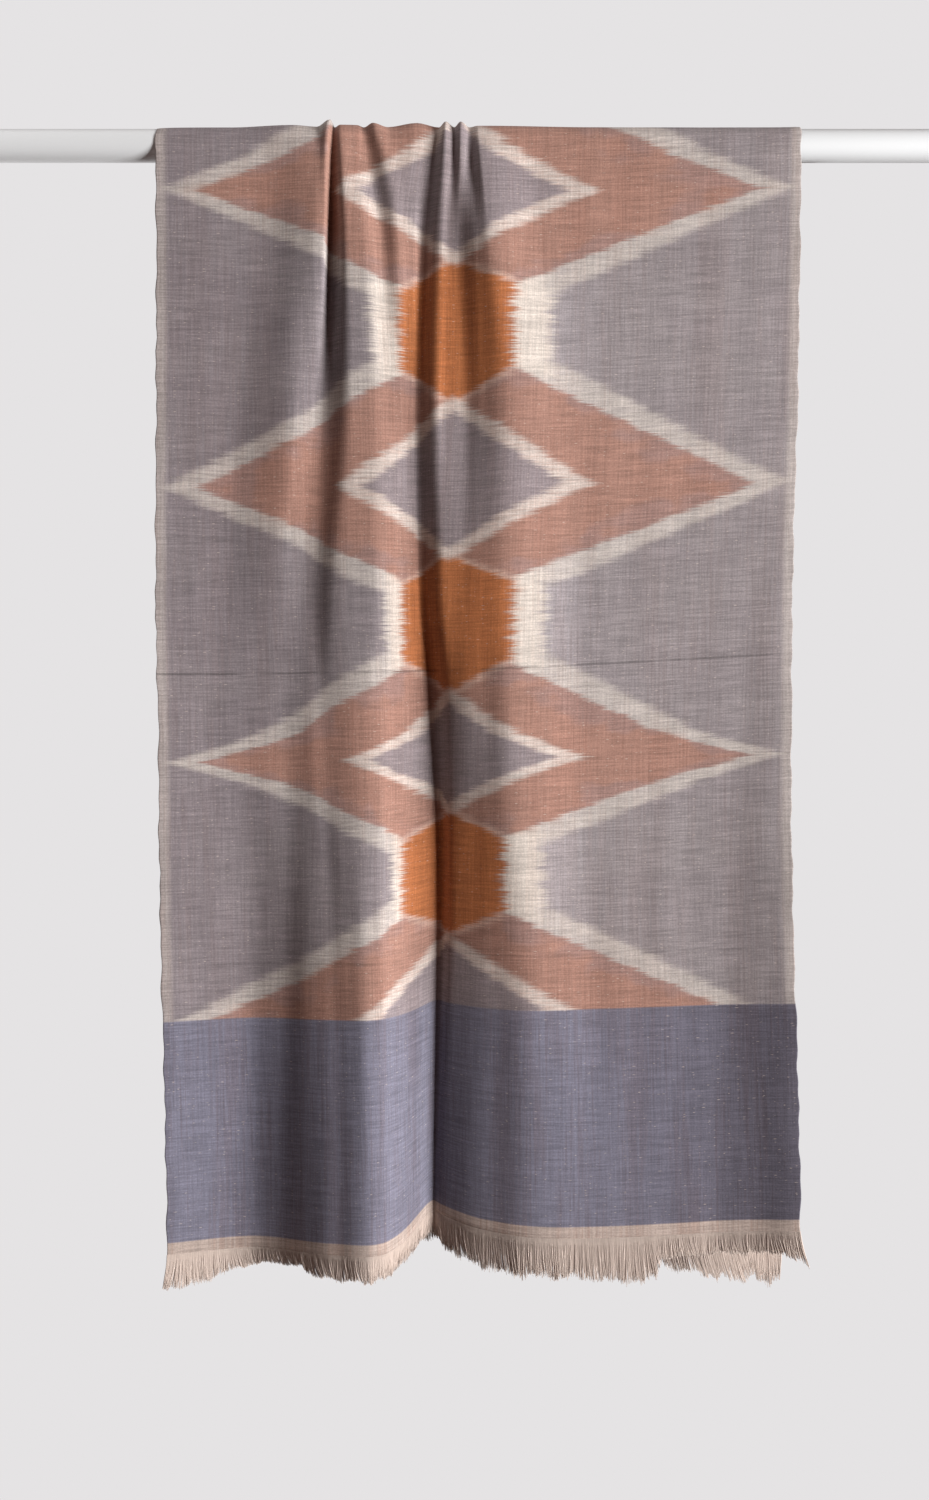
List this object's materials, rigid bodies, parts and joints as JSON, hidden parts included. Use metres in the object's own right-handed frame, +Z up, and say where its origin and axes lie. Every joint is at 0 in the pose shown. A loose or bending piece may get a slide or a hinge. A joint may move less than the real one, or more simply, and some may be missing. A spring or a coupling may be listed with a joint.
{
  "type": "ikat stole on a rod",
  "caption": "Wide fringed ikat stole draped over a round rod, gathered into soft pleats, with plain end bands and a layer hanging each side.",
  "frame": {"origin": "on the rod's axis at its middle, where the rod holds the cloth", "axes": "+X along the rod to the viewer's right, -Y towards the front layer's viewer, +Z up"},
  "size_m": [0.95, 0.1214, 1.0864],
  "materials": {
    "lacquered_wood": "smooth white lacquer, satin",
    "ikat_cloth": "plain-woven soft wool blend in grey, brown, rust and ecru ikat, slight sheen",
    "plain_band_cloth": "plain-woven slate blue-grey, slight sheen",
    "undyed_yarn": "loose undyed yarn, matt"
  },
  "bodies": {
    "root": {"rod": "lacquered_wood", "cloth_over_rod": "ikat_cloth", "front_field": "ikat_cloth", "back_field": "ikat_cloth", "front_end_band": "plain_band_cloth", "back_end_band": "plain_band_cloth", "front_fringe": "undyed_yarn", "back_fringe": "undyed_yarn"}
  },
  "joints": []
}
